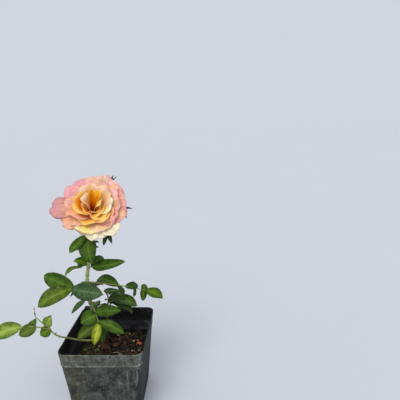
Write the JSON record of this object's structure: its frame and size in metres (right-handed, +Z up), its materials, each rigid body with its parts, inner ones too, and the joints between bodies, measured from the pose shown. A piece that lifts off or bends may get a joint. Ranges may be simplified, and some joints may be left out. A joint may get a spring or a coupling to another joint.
{
  "type": "rose bush in a nursery pot",
  "caption": "Young rose bush with a large double bloom on a nodding stem, pinnate leaves and a low side shoot, planted in a square tapered pot.",
  "frame": {"origin": "middle of the pot's flat underside", "axes": "+Z up along the plant, -Y towards the front that the bloom faces, +X to the right seen from the front"},
  "size_m": [0.2199, 0.1315, 0.3458],
  "materials": {
    "pot": "thin black plastic, dusty and scuffed outside, darker inside",
    "potting_mix": "damp dark mix of bark, peat and grit",
    "wood": "grey-brown bark",
    "cane": "smooth green bark, reddish in places",
    "leaf": "soft satin green blade",
    "petal": "soft matte petals, golden at the heart and pink at the rim"
  },
  "bodies": {
    "root": {"pot": "pot", "potting_mix": "potting_mix", "woody_foot": "wood", "cane_main": "cane", "cane_side": "cane", "shoot_low": "cane", "bloom": "petal", "leaf_collar": "leaf", "leaf_upper_right": "leaf", "leaf_upper_left": "leaf", "leaf_left": "leaf", "leaf_left_low": "leaf", "leaf_behind": "leaf", "leaf_right_long": "leaf", "leaf_side_fork": "leaf", "leaf_right_broad": "leaf", "leaf_front": "leaf", "leaf_low_left": "leaf", "leaf_low_tip": "leaf", "leaf_back_top": "leaf", "leaf_back_upper": "leaf", "leaf_back_left": "leaf", "leaf_back_right": "leaf", "leaf_back_low": "leaf"}
  },
  "joints": []
}
